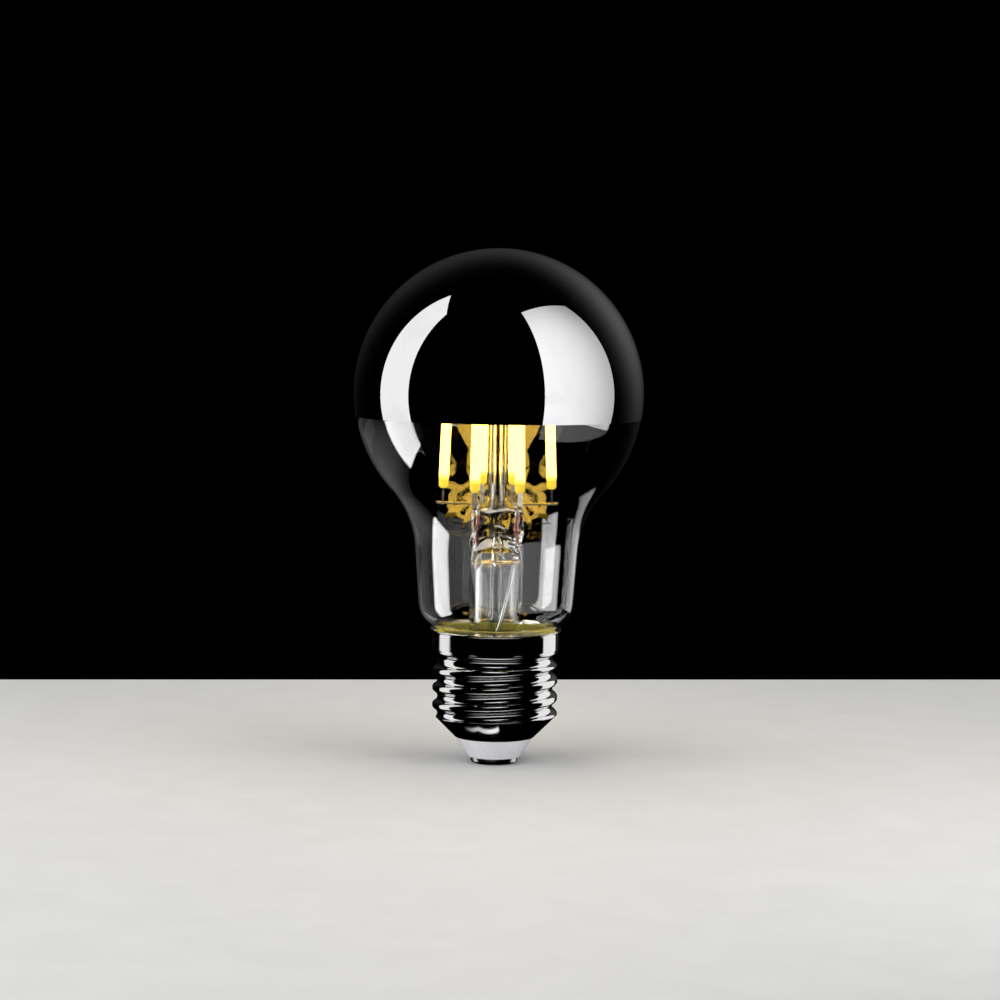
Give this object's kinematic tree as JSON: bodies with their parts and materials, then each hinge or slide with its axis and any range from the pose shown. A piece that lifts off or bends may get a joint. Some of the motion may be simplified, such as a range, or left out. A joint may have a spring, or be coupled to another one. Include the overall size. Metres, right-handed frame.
{
  "type": "crown mirror led bulb",
  "caption": "LED filament lamp: a clear pear-shaped glass bulb with a mirrored crown, light rods on a glass stem inside it, and a rolled metal screw cap.",
  "frame": {"origin": "centre of the flat face of the centre contact, on the lamp's axis", "axes": "+Z along the lamp's axis from the contact to the crown, +X to the right in the picture, and -Y towards the camera"},
  "size_m": [0.0602, 0.0602, 0.1075],
  "materials": {
    "clear_glass": "clear, polished",
    "crown_mirror": "mirror bright",
    "cap_metal": "nickel plated, bright",
    "contact_metal": "satin",
    "insulator_plastic": "satin white",
    "cement": "dull",
    "wire_metal": "bright drawn",
    "lead_metal": "copper clad, bright",
    "phosphor": "lit yellow coat",
    "board": "satin",
    "moulded_black": "matt",
    "capacitor_sleeve": "glossy",
    "fuse_body": "dull",
    "wire_sleeve": "satin"
  },
  "bodies": {
    "root": {"glass_envelope": "clear_glass", "mirror_coating": "crown_mirror", "glass_stem": "clear_glass", "screw_shell": "cap_metal", "base_insulator": "insulator_plastic", "centre_contact": "contact_metal", "basing_cement": "cement", "left_lead_wire": "lead_metal", "right_lead_wire": "lead_metal", "left_spider": "wire_metal", "right_spider": "wire_metal", "top_spider": "wire_metal", "driver_board": "board", "smoothing_capacitor": "capacitor_sleeve", "bridge_rectifier": "moulded_black", "driver_chip": "moulded_black", "chip_resistor_1": "moulded_black", "chip_resistor_2": "moulded_black", "fuse_resistor": "fuse_body", "live_wire": "wire_sleeve", "neutral_wire": "wire_sleeve", "led_filament_1": "phosphor", "filament_1_lower_tab": "wire_metal", "filament_1_upper_tab": "wire_metal", "led_filament_2": "phosphor", "filament_2_lower_tab": "wire_metal", "filament_2_upper_tab": "wire_metal", "led_filament_3": "phosphor", "filament_3_lower_tab": "wire_metal", "filament_3_upper_tab": "wire_metal", "led_filament_4": "phosphor", "filament_4_lower_tab": "wire_metal", "filament_4_upper_tab": "wire_metal", "led_filament_5": "phosphor", "filament_5_lower_tab": "wire_metal", "filament_5_upper_tab": "wire_metal", "led_filament_6": "phosphor", "filament_6_lower_tab": "wire_metal", "filament_6_upper_tab": "wire_metal"}
  },
  "joints": []
}
